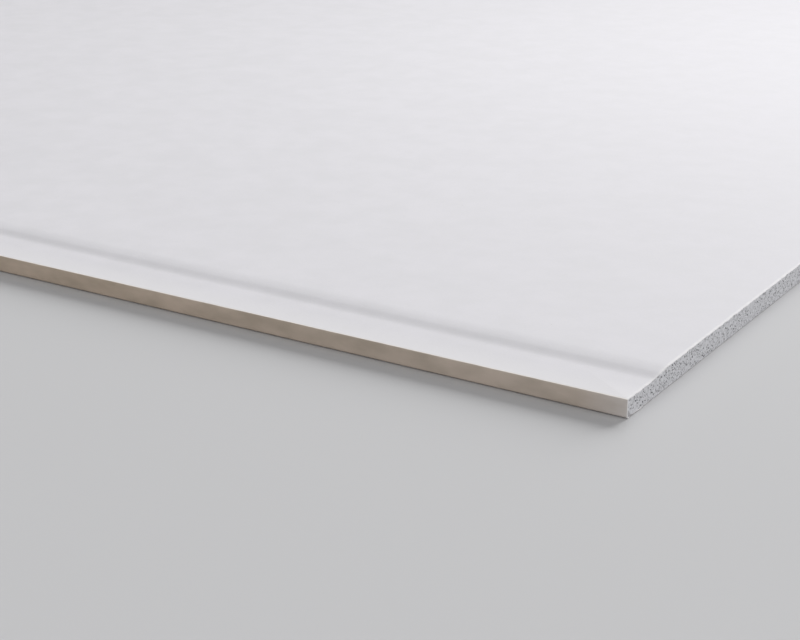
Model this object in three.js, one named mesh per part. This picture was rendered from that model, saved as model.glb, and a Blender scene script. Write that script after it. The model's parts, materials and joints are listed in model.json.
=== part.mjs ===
// Drywall sheet with two tapered long edges, lying flat on its back.
// Millimetres: +X along the sheet, +Y across it, +Z up out of the face.
// The origin is the middle of the underside.
//
// The sheet is drawn as one cross-section and extruded along its length, so
// both short ends are square cuts that show the bare core between the papers.

import * as THREE from "three";

// The sheet
const LENGTH = 2400;
const WIDTH = 1200;
const THICKNESS = 12.5;

// The papers
const FACE_PAPER = 0.4;
const BACK_PAPER = 0.35;
const LAP_REACH = 28; // how far in from the edge the folded face paper runs on the back
const LAP_SHOWN = 12; // the strip of that lap which the back paper leaves bare

// The recess along each long edge, from the edge inwards
const RECESS_DEPTH = 1.6;
const SHELF_WIDTH = 28.5; // level strip
const RAMP_FOOT = 10.5; // hollow bend up from the strip
const RAMP_HEAD = 14; // rounded bend over into the face

// The fold of the face paper round each long edge
const TOP_FOLD_RADIUS = 0.8;
const BOTTOM_FOLD_RADIUS = 1.2;

// Each bend is drawn with twice this many straight steps.
const BEND_STEPS = 4;

const edgeY = WIDTH / 2;
const shelfZ = THICKNESS - RECESS_DEPTH;
const lapZ = BACK_PAPER;
const quarterTurn = Math.PI / 2;

// The two bends of the ramp meet at its steepest place.
const rampAngle = 2 * Math.atan(RECESS_DEPTH / (RAMP_FOOT + RAMP_HEAD));
const footRadius = RAMP_FOOT / Math.sin(rampAngle);
const headRadius = RAMP_HEAD / Math.sin(rampAngle);
const footY = edgeY - SHELF_WIDTH;
const headY = footY - RAMP_FOOT - RAMP_HEAD;

// The +Y edge of the section at a depth below the outside of the face paper:
// from the top of the ramp, down over the shelf, round the edge and in under
// the back to the end of the lap.
function edgeLine(depth) {
  const line = new THREE.Path();
  line.absarc(headY, THICKNESS - headRadius, headRadius - depth, quarterTurn, quarterTurn - rampAngle, true);
  line.absarc(footY, shelfZ + footRadius, footRadius + depth, -quarterTurn - rampAngle, -quarterTurn, false);
  const topY = edgeY - TOP_FOLD_RADIUS;
  line.absarc(topY, shelfZ - TOP_FOLD_RADIUS, TOP_FOLD_RADIUS - depth, quarterTurn, 0, true);
  const bottomY = edgeY - BOTTOM_FOLD_RADIUS;
  line.absarc(bottomY, lapZ + BOTTOM_FOLD_RADIUS, BOTTOM_FOLD_RADIUS - depth, 0, -quarterTurn, true);
  line.lineTo(edgeY - LAP_REACH, lapZ + depth);
  return line.getPoints(BEND_STEPS);
}

// The same line carried over the face from one lap to the other.
function sheetLine(depth) {
  const edge = edgeLine(depth);
  const oppositeEdge = edge.map((point) => new THREE.Vector2(-point.x, point.y)).reverse();
  return [...oppositeEdge, ...edge];
}

// A section drawn in (Y, Z), extruded along X and centred on the origin.
function extrudeAlongSheet(name, outline, material) {
  const geometry = new THREE.ExtrudeGeometry(new THREE.Shape(outline), { depth: LENGTH, bevelEnabled: false });
  const alongX = new THREE.Vector3(1, 0, 0);
  const acrossY = new THREE.Vector3(0, 1, 0);
  const upZ = new THREE.Vector3(0, 0, 1);
  geometry.translate(0, 0, -LENGTH / 2);
  geometry.applyMatrix4(new THREE.Matrix4().makeBasis(acrossY, upZ, alongX));
  const mesh = new THREE.Mesh(geometry, material);
  mesh.name = name;
  return mesh;
}

// Gypsum core: fills the folded face paper, and steps down onto the back
// paper between the two laps.
function gypsumCore() {
  const stepY = edgeY - LAP_REACH;
  const outline = [
    ...sheetLine(FACE_PAPER),
    new THREE.Vector2(stepY, BACK_PAPER),
    new THREE.Vector2(-stepY, BACK_PAPER),
  ];
  const gypsum = new THREE.MeshStandardMaterial({ color: 0xacacb0, roughness: 0.95, metalness: 0 });
  return extrudeAlongSheet("gypsum_core", outline, gypsum);
}

// Face paper: one band over the face, round both edges and onto the back.
function facePaper() {
  const outline = [...sheetLine(0), ...sheetLine(FACE_PAPER).reverse()];
  const paper = new THREE.MeshStandardMaterial({ color: 0xdedde1, roughness: 0.85, metalness: 0 });
  return extrudeAlongSheet("face_paper", outline, paper);
}

// Back paper: the liner the sheet lies on, glued over the laps.
function backPaper() {
  const liner = new THREE.MeshStandardMaterial({ color: 0x9c9a97, roughness: 0.9, metalness: 0 });
  const geometry = new THREE.BoxGeometry(LENGTH, WIDTH - 2 * LAP_SHOWN, BACK_PAPER);
  const mesh = new THREE.Mesh(geometry, liner);
  mesh.position.z = BACK_PAPER / 2;
  mesh.name = "back_paper";
  return mesh;
}

const group = new THREE.Group();
group.add(gypsumCore(), facePaper(), backPaper());

export default group;
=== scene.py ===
# %% [markdown]
# # A drywall sheet
# A drywall sheet is a slab of foamed plaster between two papers. The face paper is
# white. It folds round both long edges, where the slab is a little thinner so that
# joint tape can lie flush, and it ends on the back, under the grey back paper. The
# short ends are sawn, so they show the bare core with its air bubbles.
#
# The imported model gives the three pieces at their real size. Each one is copied here,
# cleaned, given the fine relief that the solids leave out, and finished with a
# material of its own.

import json
import math
import random

import bpy
from mathutils import Matrix, Vector
from mathutils import noise as perlin


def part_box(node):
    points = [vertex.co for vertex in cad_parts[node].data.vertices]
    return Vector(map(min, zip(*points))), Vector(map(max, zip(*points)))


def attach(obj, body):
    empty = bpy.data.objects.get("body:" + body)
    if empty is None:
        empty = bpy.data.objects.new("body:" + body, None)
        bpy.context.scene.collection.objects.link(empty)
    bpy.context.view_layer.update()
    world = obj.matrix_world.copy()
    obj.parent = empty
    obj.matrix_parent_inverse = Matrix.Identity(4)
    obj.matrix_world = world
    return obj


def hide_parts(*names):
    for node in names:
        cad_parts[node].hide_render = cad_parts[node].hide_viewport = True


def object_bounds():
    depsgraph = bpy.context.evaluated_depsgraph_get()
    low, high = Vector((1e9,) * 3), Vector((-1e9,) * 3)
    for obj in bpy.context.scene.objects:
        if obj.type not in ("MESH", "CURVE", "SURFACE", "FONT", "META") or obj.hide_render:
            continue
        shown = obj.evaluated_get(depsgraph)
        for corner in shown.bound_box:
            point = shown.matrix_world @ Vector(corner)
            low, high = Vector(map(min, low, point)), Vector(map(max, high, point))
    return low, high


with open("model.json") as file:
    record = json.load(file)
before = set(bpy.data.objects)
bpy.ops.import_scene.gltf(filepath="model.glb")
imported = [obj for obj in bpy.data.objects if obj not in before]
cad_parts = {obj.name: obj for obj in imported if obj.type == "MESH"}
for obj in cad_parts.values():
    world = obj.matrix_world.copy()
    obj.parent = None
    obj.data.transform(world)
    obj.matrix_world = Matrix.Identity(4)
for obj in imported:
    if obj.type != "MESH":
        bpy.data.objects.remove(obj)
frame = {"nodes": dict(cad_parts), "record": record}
cad_low, cad_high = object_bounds()
print("the sheet measures", [round(side, 4) for side in cad_high - cad_low], "m")

MM = 0.001

# %% [markdown]
# ## The camera
# The camera stands low over one corner, so that a long edge runs out of the view on
# the left and a sawn end on the right. A long lens keeps the edges nearly straight.
# Its place is given from that corner, because the corner is what the view shows.

# %% Place the camera
near_corner = Vector((cad_high.x, cad_low.y, cad_low.z))
CAMERA_FROM_CORNER = Vector((0.3562, -0.7903, 0.3784))
CAMERA_AZIMUTH = math.radians(32.04)
CAMERA_DOWN = math.radians(20.635)
CAMERA_LENS = 81.55
NEAREST_SEEN = 0.01

camera_data = bpy.data.cameras.new("camera")
camera_data.lens = CAMERA_LENS
camera_data.clip_start = NEAREST_SEEN
camera = bpy.data.objects.new("camera", camera_data)
camera.location = near_corner + CAMERA_FROM_CORNER
camera.rotation_euler = (math.pi / 2 - CAMERA_DOWN, 0, CAMERA_AZIMUTH)
bpy.context.collection.objects.link(camera)
bpy.context.scene.camera = camera
print("camera at", [round(c, 3) for c in camera.location])

# %% [markdown]
# ## Copying a piece
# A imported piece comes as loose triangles. A copy of it is merged and its flat
# triangles are dissolved into whole faces, which leaves the clean shape that a maker
# would draw: one long face for each step of the section, and one face at each end.

# %% Select parts of a piece
SELECT_MODES = {"polygons": "FACE", "edges": "EDGE"}


def select_only(piece):
    bpy.ops.object.select_all(action="DESELECT")
    piece.select_set(True)
    bpy.context.view_layer.objects.active = piece


def select_in_edit(piece, elements, wanted):
    """Selects the faces or edges that a test picks, and goes into edit mode."""
    select_only(piece)
    bpy.ops.object.mode_set(mode="EDIT")
    bpy.ops.mesh.select_mode(type=SELECT_MODES[elements])
    bpy.ops.mesh.select_all(action="DESELECT")
    bpy.ops.object.mode_set(mode="OBJECT")
    for element in getattr(piece.data, elements):
        element.select = wanted(element)
    bpy.ops.object.mode_set(mode="EDIT")


# %% Copy and clean a piece
SAME_PLACE = 0.01 * MM
SAME_PLANE = math.radians(0.05)
SQUARE_ON = 0.9


def clean_copy(node, name):
    piece = frame["nodes"][node].copy()
    piece.data = frame["nodes"][node].data.copy()
    piece.name = name
    piece.data.name = name
    bpy.context.collection.objects.link(piece)
    select_only(piece)
    bpy.ops.mesh.customdata_custom_splitnormals_clear()
    bpy.ops.object.shade_flat()
    bpy.ops.object.mode_set(mode="EDIT")
    bpy.ops.mesh.select_all(action="SELECT")
    bpy.ops.mesh.remove_doubles(threshold=SAME_PLACE)
    bpy.ops.mesh.dissolve_limited(angle_limit=SAME_PLANE)
    bpy.ops.object.mode_set(mode="OBJECT")
    for end in (-1, 1):
        select_in_edit(piece, "polygons", lambda face: end * face.normal.x > SQUARE_ON)
        bpy.ops.mesh.dissolve_faces()
        bpy.ops.object.mode_set(mode="OBJECT")
    print(name, "has", len(piece.data.vertices), "points and", len(piece.data.polygons), "faces")
    return piece


def triangle_count(piece):
    piece.data.calc_loop_triangles()
    return len(piece.data.loop_triangles)


# %% [markdown]
# ## The core
# The core is plaster that was foamed before it set, so a saw cut opens bubbles of all
# sizes, up to nearly two millimetres across. They could be painted or bumped, but real
# hollows catch light and shade from every side. So a bubble is modelled once for each
# of two sizes, copied to every place as one joined mesh, and cut out of the core with
# a boolean. The bubbles of one mesh must not overlap, so large and small ones are cut
# one after the other. First comes the outline of an end, which they have to stay in.

# %% Find the rim of the sawn ends
core = clean_copy("gypsum_core", "core")
core_low, core_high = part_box("gypsum_core")

end_face = max(core.data.polygons, key=lambda face: face.center.x)
corners = [core.data.vertices[i].co for i in end_face.vertices]
rim = [
    (Vector((a.y, a.z)), Vector((b.y, b.z)))
    for a, b in zip(corners, corners[1:] + corners[:1])
]
print("the rim of a sawn end has", len(rim), "sides")


def inside_rim(point):
    """True where a line from the point to one side crosses the rim an odd number of times."""
    crossed = False
    for a, b in rim:
        if (a.y > point.y) != (b.y > point.y):
            if point.x < a.x + (b.x - a.x) * (point.y - a.y) / (b.y - a.y):
                crossed = not crossed
    return crossed


def rim_distance(point):
    nearest = math.inf
    for start, stop in rim:
        along = stop - start
        share = max(0.0, min(1.0, (point - start).dot(along) / along.length_squared))
        nearest = min(nearest, (start + along * share - point).length)
    return nearest


# %% [markdown]
# Against the lower folds of the paper the plaster sets dense and smooth, in a wedge
# outside a slanting line, so no bubble opens there.

# %% Mark the dense wedge at the two lower corners
WEDGE_LEG = 5.0 * MM


def in_wedge(point):
    """True in the corner that a slanting line cuts off, one leg from the corner on both sides."""
    from_side = core_high.y - abs(point.x)
    from_bottom = point.y - core_low.z
    return from_side + from_bottom < WEDGE_LEG


# %% [markdown]
# Bubbles are dropped at random, and one that would touch another, the rim or the wedge
# is dropped again. A grid of cells as wide as the largest bubbles remembers who lies
# where, so each new one is compared with its neighbours alone.

# %% Choose where the bubbles lie
BUBBLE_SEED = 7
bubble_random = random.Random(BUBBLE_SEED)
RIM_MARGIN = 0.12 * MM
KEPT_APART = 1.05
MOSTLY_SMALL = 2


def scatter_bubbles(count, smallest, largest):
    """Circles on a sawn end, as (centre, radius), clear of each other and of the rim."""
    cell = 2 * KEPT_APART * largest
    placed = {}
    bubbles = []
    while len(bubbles) < count:
        radius = smallest + (largest - smallest) * bubble_random.random() ** MOSTLY_SMALL
        y = bubble_random.uniform(core_low.y, core_high.y)
        z = bubble_random.uniform(core_low.z, core_high.z)
        point = Vector((y, z))
        column, row = math.floor(y / cell), math.floor(z / cell)
        near = [
            other
            for next_column in (column - 1, column, column + 1)
            for next_row in (row - 1, row, row + 1)
            for other in placed.get((next_column, next_row), [])
        ]
        if any((point - other).length < KEPT_APART * (radius + size) for other, size in near):
            continue
        if in_wedge(point) or not inside_rim(point) or rim_distance(point) < radius + RIM_MARGIN:
            continue
        placed.setdefault((column, row), []).append((point, radius))
        bubbles.append((point, radius))
    return bubbles


# %% [markdown]
# A bubble could be a ball, but half of a ball's faces would lie outside the plaster. A
# cone needs fewer. The points of its base are its widest ring, so its body is the spout
# that sticks out of the sawn end, and its base is pushed in to make the bowl.

# %% Model one bubble
SPOUT_LENGTH = 2.2
BOWL_DEPTH = 0.8


def bubble_template(sides, floor_share):
    """A bubble of radius 1 with a spout along +X.

    The floor of its bowl is a share as wide as its mouth, or a point for a share of 0.
    """
    bpy.ops.object.select_all(action="DESELECT")
    bpy.ops.mesh.primitive_cone_add(
        vertices=sides, radius1=1.0, depth=SPOUT_LENGTH, rotation=(0, math.pi / 2, 0),
        location=(SPOUT_LENGTH / 2, 0, 0),
    )
    bpy.ops.object.transform_apply(location=True, rotation=True, scale=False)
    template = bpy.context.active_object
    select_in_edit(template, "polygons", lambda face: face.normal.x < -SQUARE_ON)
    if floor_share:
        bpy.ops.mesh.extrude_region_move(TRANSFORM_OT_translate={"value": (-BOWL_DEPTH, 0, 0)})
        bpy.ops.transform.resize(value=(1, floor_share, floor_share))
    else:
        bpy.ops.mesh.poke(offset=BOWL_DEPTH)
    bpy.ops.mesh.select_all(action="SELECT")
    bpy.ops.mesh.normals_make_consistent(inside=False)
    bpy.ops.object.mode_set(mode="OBJECT")
    points = [vertex.co.copy() for vertex in template.data.vertices]
    faces = [tuple(face.vertices) for face in template.data.polygons]
    bpy.data.objects.remove(template)
    print("a bubble has", len(points), "points and", len(faces), "faces")
    return points, faces


large_template = bubble_template(sides=8, floor_share=0.55)
small_template = bubble_template(sides=6, floor_share=0)

# %% [markdown]
# The saw opens each bubble at another height, so a copy is sunk by a share of its
# radius. It is also turned about the saw's direction and squeezed a little, so that
# no two are alike.

# %% Copy a bubble to every place
SINKS = (0.1, 0.6)
SQUEEZES = (0.75, 1.0)


def bubble_mesh(name, template, count, smallest, largest):
    template_points, template_faces = template
    points = []
    faces = []
    for end in (-1, 1):
        facing = Matrix.Rotation(0 if end > 0 else math.pi, 3, "Z")
        for place, radius in scatter_bubbles(count, smallest, largest):
            first = len(points)
            sink = bubble_random.uniform(*SINKS) * radius
            centre = Vector((end * (core_high.x - sink), place.x, place.y))
            turn = Matrix.Rotation(bubble_random.uniform(0, math.pi), 3, "X")
            squeeze = Matrix.Diagonal([bubble_random.uniform(*SQUEEZES) for axis in range(3)])
            shape = facing @ turn @ squeeze * radius
            points += [centre + shape @ point for point in template_points]
            faces += [tuple(first + i for i in face) for face in template_faces]
    mesh = bpy.data.meshes.new(name)
    mesh.from_pydata(points, [], faces)
    bubbles = bpy.data.objects.new(name, mesh)
    bpy.context.collection.objects.link(bubbles)
    print(name + ":", len(points) // len(template_points))
    return bubbles


# %% Cut the bubbles out of the core
def cut_bubbles(bubbles):
    select_only(core)
    cut = core.modifiers.new(bubbles.name, "BOOLEAN")
    cut.operation = "DIFFERENCE"
    cut.solver = "MANIFOLD"
    cut.object = bubbles
    bpy.ops.object.modifier_apply(modifier=cut.name)
    bpy.data.objects.remove(bubbles)
    print("the core now has", triangle_count(core), "triangles")


cut_bubbles(bubble_mesh(
    "large_bubbles", large_template, count=1250, smallest=0.4 * MM, largest=0.95 * MM,
))
cut_bubbles(bubble_mesh(
    "small_bubbles", small_template, count=1200, smallest=0.16 * MM, largest=0.34 * MM,
))

# %% Put the core in place of its solid
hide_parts("gypsum_core")
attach(core, "root")
print("the core is", round(core_high.z - core_low.z, 5), "m thick")

# %% [markdown]
# ## The papers
# A paper is a thin sheet of pressed fibre. Where the saw went through, its edge is a
# little ragged. The long sides of an end are split into short steps, and the points of
# the steps are moved in and out by a smooth noise, so that near points move alike. The
# noise has finer and weaker noise on top of it, so the edge looks torn and not wavy.

# %% Fray the sawn edges of a paper
FRAY_STEP = 1.25 * MM
FRAY_REACH = 0.5 * MM
FRAY_FEATURE = 5 * MM
FRAY_FADE = 1.0
FRAY_FINER = 2.0
FRAY_OCTAVES = 3
LONG_SIDE = 10 * FRAY_STEP


def at_end(point):
    return abs(abs(point.x) - core_high.x) < SAME_PLACE


def on_end(piece, edge):
    """True for an edge that lies in a sawn end."""
    first, second = [piece.data.vertices[i].co for i in edge.vertices]
    return at_end(first) and abs(first.x - second.x) < SAME_PLACE


def edge_length(piece, edge):
    first, second = [piece.data.vertices[i].co for i in edge.vertices]
    return (first - second).length


def steps_along(piece, edge):
    """How many steps a long side of an end is split into. Any other edge has none."""
    if not on_end(piece, edge) or edge_length(piece, edge) < LONG_SIDE:
        return 0
    return round(edge_length(piece, edge) / FRAY_STEP)


def fray_ends(piece, seed):
    """Splits the long sides of both ends into steps and moves their points in and out."""
    step_counts = {steps_along(piece, edge) for edge in piece.data.edges} - {0}
    for steps in sorted(step_counts):
        select_in_edit(piece, "edges", lambda edge: steps_along(piece, edge) == steps)
        bpy.ops.mesh.subdivide(number_cuts=steps - 1)
        bpy.ops.object.mode_set(mode="OBJECT")
    for point in piece.data.vertices:
        if at_end(point.co):
            tuft = point.co / FRAY_FEATURE + Vector((0, 0, seed))
            point.co.x += FRAY_REACH * perlin.fractal(tuft, FRAY_FADE, FRAY_FINER, FRAY_OCTAVES)
    print(piece.name, "has", triangle_count(piece), "triangles after fraying")


# %% [markdown]
# A board is never quite flat. Under a low light its face shows waves a few hundredths
# of a millimetre high, and the slope of the tapered edge shows them best. The long
# strips are cut into a grid, whose points are moved up and down by a cloud texture.

# %% Waves in the face
GRID_STEP = 40 * MM
WAVE_WIDTH = 90 * MM
WAVE_HEIGHT = 0.12 * MM


def cut_across(piece, low, high, normal):
    """Cuts a piece by a row of planes, one each step from low to high along their normal."""
    normal = Vector(normal)
    select_only(piece)
    bpy.ops.object.mode_set(mode="EDIT")
    for i in range(1, round((high - low) / GRID_STEP)):
        bpy.ops.mesh.select_all(action="SELECT")
        bpy.ops.mesh.bisect(plane_co=normal * (low + i * GRID_STEP), plane_no=normal)
    bpy.ops.object.mode_set(mode="OBJECT")


def add_waves(piece):
    clouds = bpy.data.textures.new(piece.name + " waves", "CLOUDS")
    clouds.noise_scale = WAVE_WIDTH
    select_only(piece)
    waves = piece.modifiers.new("waves", "DISPLACE")
    waves.texture = clouds
    waves.direction = "Z"
    waves.strength = WAVE_HEIGHT
    bpy.ops.object.modifier_apply(modifier=waves.name)
    bpy.data.textures.remove(clouds)
    print(piece.name, "has", triangle_count(piece), "triangles with its waves")


# %% [markdown]
# The face paper could be built anew as a strip with a thickness, but its solid has the
# taper, the folds and the laps already. So the copy is only cut, frayed and waved. Its
# bends are shaded smooth, and its sawn edges stay sharp.

# %% Face paper
ROUNDED_BELOW = math.radians(30)

face_paper = clean_copy("face_paper", "face_liner")
cut_across(face_paper, cad_low.x, cad_high.x, normal=(1, 0, 0))
cut_across(face_paper, cad_low.y, cad_high.y, normal=(0, 1, 0))
fray_ends(face_paper, seed=11.5)
add_waves(face_paper)
select_only(face_paper)
bpy.ops.object.shade_smooth_by_angle(angle=ROUNDED_BELOW)
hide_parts("face_paper")
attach(face_paper, "root")

# %% [markdown]
# The back paper is flat and lies on the floor, where no wave would show, so only its
# sawn edges are frayed.

# %% Back paper
back_paper = clean_copy("back_paper", "back_liner")
fray_ends(back_paper, seed=12.5)
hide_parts("back_paper")
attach(back_paper, "root")

# %% [markdown]
# ## The materials
# Every pattern is worked out from the place of a point on the sheet, in metres, so a
# pattern's scale is one over the size of its features. A small helper makes a node and
# joins its inputs, and each finish below is a few lines that say what lies on what.

# %% Start a material and join its nodes
def new_node(material, kind):
    return material.node_tree.nodes.new(kind)


def new_material(name, roughness, specular):
    """A material, its shader, and the place of a point, which its patterns start from."""
    material = bpy.data.materials.new(name)
    material.use_nodes = True
    shader = material.node_tree.nodes["Principled BSDF"]
    shader.inputs["Roughness"].default_value = roughness
    shader.inputs["Specular IOR Level"].default_value = specular
    place = new_node(material, "ShaderNodeTexCoord").outputs["Object"]
    return material, shader, place


def fill(material, socket, value):
    """Joins a socket to another node, or gives it a plain value."""
    if isinstance(value, bpy.types.NodeSocket):
        material.node_tree.links.new(value, socket)
    else:
        socket.default_value = value


def wear(piece, material):
    piece.data.materials.clear()
    piece.data.materials.append(material)
    print(piece.name, "wears", material.name, "of", len(material.node_tree.nodes), "nodes")


# %% Helpers that work out where a point is
def coordinates(material, place):
    node = new_node(material, "ShaderNodeSeparateXYZ")
    fill(material, node.inputs["Vector"], place)
    return node.outputs[:]


def math_node(material, operation, first, second=0.0, third=0.0):
    node = new_node(material, "ShaderNodeMath")
    node.operation = operation
    for socket, value in zip(node.inputs, (first, second, third)):
        fill(material, socket, value)
    return node.outputs["Value"]


def inward(material, side, coordinate):
    """How far in a point lies from the nearer of two sides, which are as far out both ways."""
    return math_node(material, "SUBTRACT", side, math_node(material, "ABSOLUTE", coordinate))


# %% Helpers that make patterns
def noise(material, place, feature, detail=2.0, stretch=(1, 1, 1), coarse=0.5):
    """A cloudy pattern from 0 to 1 whose patches are about one feature across."""
    turned = new_node(material, "ShaderNodeMapping")
    fill(material, turned.inputs["Vector"], place)
    turned.inputs["Scale"].default_value = stretch
    node = new_node(material, "ShaderNodeTexNoise")
    fill(material, node.inputs["Vector"], turned.outputs["Vector"])
    node.inputs["Scale"].default_value = 1 / feature
    node.inputs["Detail"].default_value = detail
    node.inputs["Roughness"].default_value = coarse
    return node.outputs["Fac"]


def warp(material, place, feature, reach):
    """Moves every point a little at random, so that a regular outline drawn there is lost."""
    node = new_node(material, "ShaderNodeTexNoise")
    fill(material, node.inputs["Vector"], place)
    node.inputs["Scale"].default_value = 1 / feature
    push = new_node(material, "ShaderNodeVectorMath")
    push.operation = "MULTIPLY_ADD"
    fill(material, push.inputs[0], node.outputs["Color"])
    push.inputs[1].default_value = (reach, reach, reach)
    fill(material, push.inputs[2], place)
    return push.outputs["Vector"]


def spots(material, place, spacing):
    """Cells about one spacing wide.

    Gives how far off the middle of a point's cell is, counted in cells, and a random value.
    """
    node = new_node(material, "ShaderNodeTexVoronoi")
    fill(material, node.inputs["Vector"], place)
    node.inputs["Scale"].default_value = 1 / spacing
    chance = new_node(material, "ShaderNodeSeparateColor")
    fill(material, chance.inputs["Color"], node.outputs["Color"])
    return node.outputs["Distance"], chance.outputs["Red"]


# %% Helpers that turn a pattern into a finish
NOISE_MIDDLE = 0.5
MIX_UNDER = 6
MIX_OVER = 7
MIX_RESULT = 2


def ramp(material, value, start, stop, low=0.0, high=1.0, kind="LINEAR"):
    """Goes from low, where the value is at start, to high, where it is at stop."""
    node = new_node(material, "ShaderNodeMapRange")
    node.interpolation_type = kind
    fill(material, node.inputs["Value"], value)
    node.inputs["From Min"].default_value = start
    node.inputs["From Max"].default_value = stop
    node.inputs["To Min"].default_value = low
    node.inputs["To Max"].default_value = high
    return node.outputs["Result"]


def contrast(material, pattern, spread, low=0.0, high=1.0):
    """Stretches the part of a noise that lies within one spread of its middle."""
    return ramp(material, pattern, NOISE_MIDDLE - spread, NOISE_MIDDLE + spread, low, high)


def mix(material, share, under, over):
    """Lays a share of one colour over another, by the colour sockets of a Mix node."""
    node = new_node(material, "ShaderNodeMix")
    node.data_type = "RGBA"
    fill(material, node.inputs["Factor"], share)
    fill(material, node.inputs[MIX_UNDER], under)
    fill(material, node.inputs[MIX_OVER], over)
    return node.outputs[MIX_RESULT]


def vary_roughness(material, shader, pattern, spread, change):
    """Lets a pattern move the roughness by a change to both sides of its own value."""
    socket = shader.inputs["Roughness"]
    own = socket.default_value
    fill(material, socket, contrast(material, pattern, spread, own - change, own + change))


def relief(material, shader, height, depth=1.0):
    """Raises the surface by its height times a depth, in metres, in the shading alone."""
    node = new_node(material, "ShaderNodeBump")
    node.inputs["Strength"].default_value = 1.0
    node.inputs["Distance"].default_value = depth
    fill(material, node.inputs["Height"], height)
    fill(material, shader.inputs["Normal"], node.outputs["Normal"])


# %% [markdown]
# ### Sawn plaster
# Sawn plaster is a pale grey crumb. The hollows of the bubbles are darker the deeper
# they go, because little light comes back out of them. To cut the finest bubbles too
# would make the mesh heavy, so they are dark dots: some cells of a pattern have one,
# and a warp bends it out of round. The wedge at the lower corners is a plain darker grey.

# %% Sawn plaster
PLASTER_PALE = (0.68, 0.68, 0.705, 1)
PLASTER_GREY = (0.52, 0.52, 0.54, 1)
HOLLOW_DARK = (0.09, 0.09, 0.095, 1)
WEDGE_GREY = (0.41, 0.40, 0.415, 1)
CRUMB_SIZE = 2.0 * MM
CRUMB_HEIGHT = 0.15 * MM
BEND_SIZE = 0.5 * MM
BEND_REACH = 0.35 * MM
DOT_SPACING = 1.35 * MM
DOT_RADII = (0.42, 0.2)
DOT_CHANCES = (0.4, 0.45)
DOT_SHARE = 0.92
WEDGE_BLUR = 0.3 * MM
HOLLOW_DEPTHS = (0.02 * MM, 0.35 * MM)
HOLLOW_SHARE = 0.95


def sawn_plaster():
    material, shader, place = new_material("sawn plaster", roughness=0.95, specular=0.2)
    x, y, z = coordinates(material, place)
    crumb = noise(material, place, CRUMB_SIZE, detail=6, coarse=0.56)
    colour = mix(material, contrast(material, crumb, spread=0.12), PLASTER_GREY, PLASTER_PALE)

    bent = warp(material, place, BEND_SIZE, BEND_REACH)
    away, chance = spots(material, bent, DOT_SPACING)
    dot = ramp(material, away, *DOT_RADII)
    some = ramp(material, chance, *DOT_CHANCES, 0.0, DOT_SHARE)
    colour = mix(material, math_node(material, "MULTIPLY", dot, some), colour, HOLLOW_DARK)

    from_side = inward(material, core_high.y, y)
    from_bottom = math_node(material, "SUBTRACT", z, core_low.z)
    from_corner = math_node(material, "ADD", from_side, from_bottom)
    wedge = ramp(material, from_corner, WEDGE_LEG + WEDGE_BLUR, WEDGE_LEG - WEDGE_BLUR)
    colour = mix(material, wedge, colour, WEDGE_GREY)

    sunk = inward(material, core_high.x, x)
    hollow = ramp(material, sunk, *HOLLOW_DEPTHS, 0.0, HOLLOW_SHARE)
    fill(material, shader.inputs["Base Color"], mix(material, hollow, colour, HOLLOW_DARK))
    vary_roughness(material, shader, crumb, spread=0.15, change=0.05)
    relief(material, shader, crumb, CRUMB_HEIGHT)
    return material


wear(core, sawn_plaster())

# %% [markdown]
# ### Face paper
# The face is a smooth off-white, a little cloudy as all paper is when the fibres don't
# settle quite evenly, with a rare grey fleck. Along the long edges a band of painted light
# makes it whiter, and a painted highlight lies as a pale rim along the fold itself. Along
# the sawn ends torn fibres catch the light, in some places more than in others. All this
# could be painted by hand, but noise covers a sheet of this size without a repeat or a seam.

# %% White side of the face paper
WHITE_PAPER = (0.735, 0.725, 0.757, 1)
WHITE_PAPER_CLOUD = (0.705, 0.697, 0.725, 1)
# painted light: a whiter white that lifts the strip along each long edge
WHITE_PAINTED_LIGHT = (0.785, 0.775, 0.795, 1)
# painted highlight: a pale warm line along the fold of each long edge
RIM_PAINTED_HIGHLIGHT = (0.85, 0.815, 0.775, 1)
WHITE_TORN = (0.85, 0.84, 0.85, 1)
FLECK_GREY = (0.42, 0.41, 0.40, 1)
FLECK_SPACING = 16 * MM
FLECK_RADII = (0.03, 0.015)
FLECK_CHANCES = (0.6, 0.9)
FLECK_SHARE = 0.5
PAINTED_LIGHT_BAND = (22 * MM, 2 * MM)
RIM_HIGHLIGHT_BAND = (1.8 * MM, 0.9 * MM)
TORN_SIZE = 4 * MM
TORN_NOISE = (0.35, 0.6)
TORN_LEAST = 0.3
TORN_BAND = (2.2 * MM, 0.6 * MM)


def white_side(material, place, formation, from_edge, from_end):
    cloudy = contrast(material, formation, spread=0.12)
    white = mix(material, cloudy, WHITE_PAPER_CLOUD, WHITE_PAPER)
    away, chance = spots(material, place, FLECK_SPACING)
    fleck = ramp(material, away, *FLECK_RADII)
    rare = ramp(material, chance, *FLECK_CHANCES, 0.0, FLECK_SHARE)
    white = mix(material, math_node(material, "MULTIPLY", fleck, rare), white, FLECK_GREY)
    # painted light: the strip along each long edge is made whiter
    white = mix(material, ramp(material, from_edge, *PAINTED_LIGHT_BAND), white, WHITE_PAINTED_LIGHT)
    # painted highlight: a pale rim along the fold itself
    white = mix(material, ramp(material, from_edge, *RIM_HIGHLIGHT_BAND), white, RIM_PAINTED_HIGHLIGHT)

    torn = noise(material, place, TORN_SIZE, detail=3)
    torn = ramp(material, torn, *TORN_NOISE, TORN_LEAST, 1.0)
    lit = math_node(material, "MULTIPLY", torn, ramp(material, from_end, *TORN_BAND))
    return mix(material, lit, white, WHITE_TORN)


# %% [markdown]
# From the fold of each long edge round to the back the same paper is buff. It is
# streaked along its length, and saw dust makes it paler towards the sawn ends, most of
# all in the last few centimetres. It could have a material of its own, but then the
# colour would change along the edges of faces, and here that line can waver.

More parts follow.
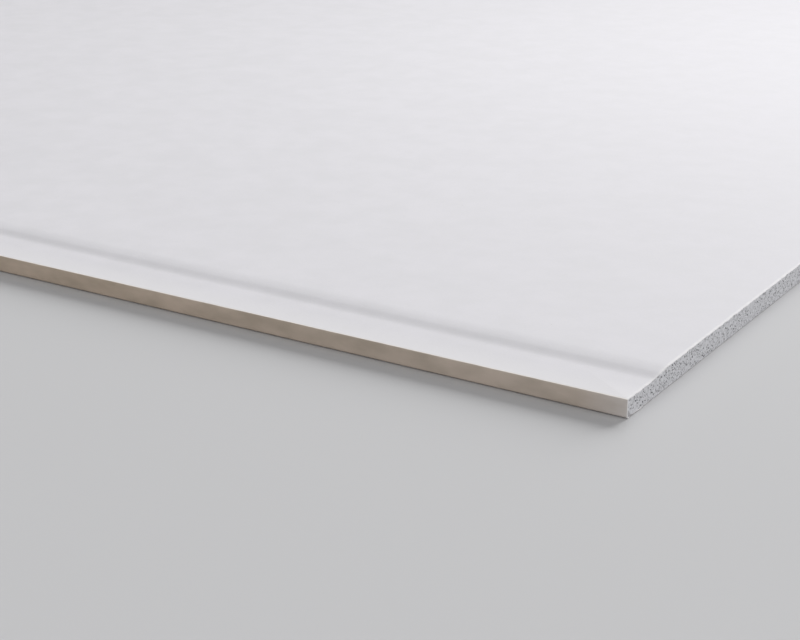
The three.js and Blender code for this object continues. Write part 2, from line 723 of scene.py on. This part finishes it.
# %% Buff side of the face paper
BUFF_PAPER = (0.53, 0.434, 0.35, 1)
BUFF_PAPER_CLOUD = (0.415, 0.343, 0.27, 1)
DUST = (0.65, 0.635, 0.64, 1)
DUST_NEAR = 30 * MM
DUST_FAR = 350 * MM
DUST_NEAR_SHARE = 0.45
DUST_FAR_SHARE = 0.2
DUST_STREAKS = (0.2, 0.6)
DUST_LEAST = 0.6


def buff_side(material, streak, from_end):
    streaky = contrast(material, streak, spread=0.14)
    buff = mix(material, streaky, BUFF_PAPER_CLOUD, BUFF_PAPER)
    near = ramp(material, from_end, DUST_NEAR, 0.0, 0.0, DUST_NEAR_SHARE)
    far = ramp(material, from_end, DUST_FAR, DUST_NEAR, 0.0, DUST_FAR_SHARE)
    dusty = math_node(material, "ADD", near, far)
    caught = ramp(material, streak, *DUST_STREAKS, DUST_LEAST, 1.0)
    return mix(material, math_node(material, "MULTIPLY", dusty, caught), buff, DUST)


# %% [markdown]
# The two sides meet on that line, just below the level strip that the joint tape lies
# on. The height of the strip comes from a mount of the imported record. Buff is
# all that is below this line on the outer skin of the edge, or on the lower half of
# the sheet, where the paper laps onto the back.

# %% Tell the buff side from the white side
mounts = {mount["name"]: Vector(mount["pos_m"]) for mount in frame["record"]["mounts"]}
strip_height = mounts["tape_recess_plus_y"].z
print("the strip for the tape is", round(strip_height / MM, 2), "mm high")

WHITE_ENDS = strip_height - 0.05 * MM
BUFF_BEGINS = strip_height - 0.18 * MM
WAVER = 0.15 * MM
SKIN = (0.5 * MM, 0.45 * MM)
LOWER_HALF = (strip_height / 2, strip_height / 2 - 0.1 * MM)


def buff_share(material, streak, from_edge, z):
    waver = ramp(material, streak, 0.0, 1.0, -WAVER, WAVER)
    below = ramp(material, math_node(material, "ADD", z, waver), WHITE_ENDS, BUFF_BEGINS)
    on_skin = ramp(material, from_edge, *SKIN)
    on_lap = ramp(material, z, *LOWER_HALF)
    outside = math_node(material, "MAXIMUM", on_skin, on_lap)
    return math_node(material, "MULTIPLY", below, outside)


# %% [markdown]
# The saw shows the pale pulp inside the paper. The face is a little smoother where the
# fibres lie thin. The fibres also have a fine relief, and the foot of the taper a
# crease, where the slope is a little steeper than the soft bend of the solid. Both are
# relief in the shading, and their heights are already in metres.

# %% Face paper's finish
PAPER_PULP = (0.80, 0.79, 0.80, 1)
PULP_BAND = (0.35 * MM, 0.1 * MM)
PULP_SHARE = 0.8
CLOUD_SIZE = 22 * MM
FIBRE_SIZE = 0.9 * MM
FIBRE_STRETCH = (0.45, 1, 1)
FIBRE_SHARE = 0.35
FIBRE_HEIGHT = 0.02 * MM
STREAK_SIZE = 11 * MM
STREAK_STRETCH = (0.4, 1, 1)
CREASE_FOOT = 31 * MM
CREASE_HEAD = 42 * MM
CREASE_RISE = 0.5 * MM


def face_finish():
    material, shader, place = new_material("white face paper", roughness=0.84, specular=0.3)
    x, y, z = coordinates(material, place)
    from_edge = inward(material, cad_high.y, y)
    from_end = inward(material, cad_high.x, x)
    cloud = noise(material, place, CLOUD_SIZE, detail=5)
    fibre = noise(material, place, FIBRE_SIZE, detail=3, stretch=FIBRE_STRETCH)
    clouded = math_node(material, "MULTIPLY", cloud, 1 - FIBRE_SHARE)
    formation = math_node(material, "MULTIPLY_ADD", fibre, FIBRE_SHARE, clouded)
    streak = noise(material, place, STREAK_SIZE, detail=4, stretch=STREAK_STRETCH)

    white = white_side(material, place, formation, from_edge, from_end)
    buff = buff_side(material, streak, from_end)
    colour = mix(material, buff_share(material, streak, from_edge, z), white, buff)
    sawn = ramp(material, from_end, *PULP_BAND, 0.0, PULP_SHARE)
    fill(material, shader.inputs["Base Color"], mix(material, sawn, colour, PAPER_PULP))
    vary_roughness(material, shader, formation, spread=0.15, change=0.05)

    crease = ramp(
        material, from_edge, CREASE_FOOT, CREASE_HEAD, 0.0, CREASE_RISE, kind="SMOOTHSTEP",
    )
    relief(material, shader, math_node(material, "MULTIPLY_ADD", fibre, FIBRE_HEIGHT, crease))
    return material


wear(face_paper, face_finish())

# %% [markdown]
# ### Back paper
# The back paper is pressed from old paper, so it is a rough warm grey with darker and
# lighter fibres in it.

# %% Back paper's finish
LINER_GREY = (0.43, 0.42, 0.425, 1)
LINER_DARK = (0.35, 0.342, 0.345, 1)
LINER_FIBRE = (0.55, 0.54, 0.54, 1)
LINER_CLOUD_SIZE = 15 * MM
LINER_FIBRE_SIZE = 1.4 * MM
LINER_FIBRE_STRETCH = (0.3, 1, 1)
LINER_FIBRE_NOISE = (0.58, 0.68)
LINER_FIBRE_SHARE = 0.6
LINER_FIBRE_HEIGHT = 0.05 * MM


def back_finish():
    material, shader, place = new_material("grey back paper", roughness=0.91, specular=0.2)
    cloud = noise(material, place, LINER_CLOUD_SIZE, detail=5)
    colour = mix(material, contrast(material, cloud, spread=0.15), LINER_DARK, LINER_GREY)
    fibre = noise(material, place, LINER_FIBRE_SIZE, detail=4, stretch=LINER_FIBRE_STRETCH)
    pale = ramp(material, fibre, *LINER_FIBRE_NOISE, 0.0, LINER_FIBRE_SHARE)
    fill(material, shader.inputs["Base Color"], mix(material, pale, colour, LINER_FIBRE))
    vary_roughness(material, shader, fibre, spread=0.2, change=-0.05)
    relief(material, shader, fibre, LINER_FIBRE_HEIGHT)
    return material


wear(back_paper, back_finish())

# %% [markdown]
# ## The studio
# The floor is plain and pale. It lies a hair below the sheet, so that the two surfaces
# don't share a plane.

# %% Floor
FLOOR_SIDE = 60.0
FLOOR_GAP = 0.05 * MM
FLOOR_COLOUR = (0.58, 0.58, 0.59, 1)

bpy.ops.object.select_all(action="DESELECT")
bpy.ops.mesh.primitive_plane_add(size=FLOOR_SIDE, location=(0, 0, cad_low.z - FLOOR_GAP))
floor = bpy.context.active_object
floor.name = "floor"
floor_paint, floor_shader = new_material("pale floor", roughness=0.9, specular=0.2)[:2]
floor_shader.inputs["Base Color"].default_value = FLOOR_COLOUR
wear(floor, floor_paint)

# %% [markdown]
# The key light comes low from behind the sheet. It grazes the face, and the slope of
# the tapered edge turns away from it and shows as a soft dark band. Two weaker lights
# fill the long edge and the sawn end, a soft lamp overhead lifts the face behind the
# corner, and the world fills the shadows. The first three come from far off, so they
# light the whole sheet alike, as lamps close to it would not.

# %% Lights
FAR_OFF = 5.0


def add_light(name, kind, strength, place, aim):
    """A light at a place, shining at a point, and unseen by the camera."""
    data = bpy.data.lights.new(name, kind)
    data.energy = strength
    light = bpy.data.objects.new(name, data)
    light.location = place
    light.rotation_euler = (Vector(place) - Vector(aim)).to_track_quat("Z", "Y").to_euler()
    light.visible_camera = False
    bpy.context.collection.objects.link(light)
    print(name, "of strength", strength)
    return data


def far_light(name, strength, azimuth, elevation, softness):
    """A light from far off. Azimuth is where it comes from, in degrees from +Y towards +X."""
    level = math.cos(math.radians(elevation))
    from_x = level * math.sin(math.radians(azimuth))
    from_y = level * math.cos(math.radians(azimuth))
    from_z = math.sin(math.radians(elevation))
    place = (FAR_OFF * from_x, FAR_OFF * from_y, FAR_OFF * from_z)
    data = add_light(name, "SUN", strength, place, aim=(0, 0, 0))
    data.angle = math.radians(softness)


far_light("low key", 3.88, azimuth=0, elevation=22, softness=40)
far_light("front fill", 0.765, azimuth=180, elevation=25, softness=60)
far_light("end fill", 0.8, azimuth=90, elevation=20, softness=50)

# %% Lamp overhead
LAMP_POWER = 0.71
LAMP_FROM_CORNER = Vector((-0.15, 0.9, 0.0))
LAMP_HEIGHT = Vector((0.0, 0.0, 2.6))
LAMP_SIZE = 0.9
LAMP_SPREAD = math.radians(34)

below_lamp = near_corner + LAMP_FROM_CORNER
lamp_place = below_lamp + LAMP_HEIGHT
top_lamp = add_light("top lamp", "AREA", LAMP_POWER, place=lamp_place, aim=below_lamp)
top_lamp.shape = "SQUARE"
top_lamp.size = LAMP_SIZE
top_lamp.spread = LAMP_SPREAD

# %% World
WORLD_WHITE = (1, 1, 1, 1)
FILL_STRENGTH = 0.26

world = bpy.data.worlds.new("studio")
world.use_nodes = True
background = world.node_tree.nodes["Background"]
background.inputs["Color"].default_value = WORLD_WHITE
background.inputs["Strength"].default_value = FILL_STRENGTH
bpy.context.scene.world = world
bpy.context.scene.view_settings.view_transform = "Standard"
print("the world fills with a strength of", FILL_STRENGTH)
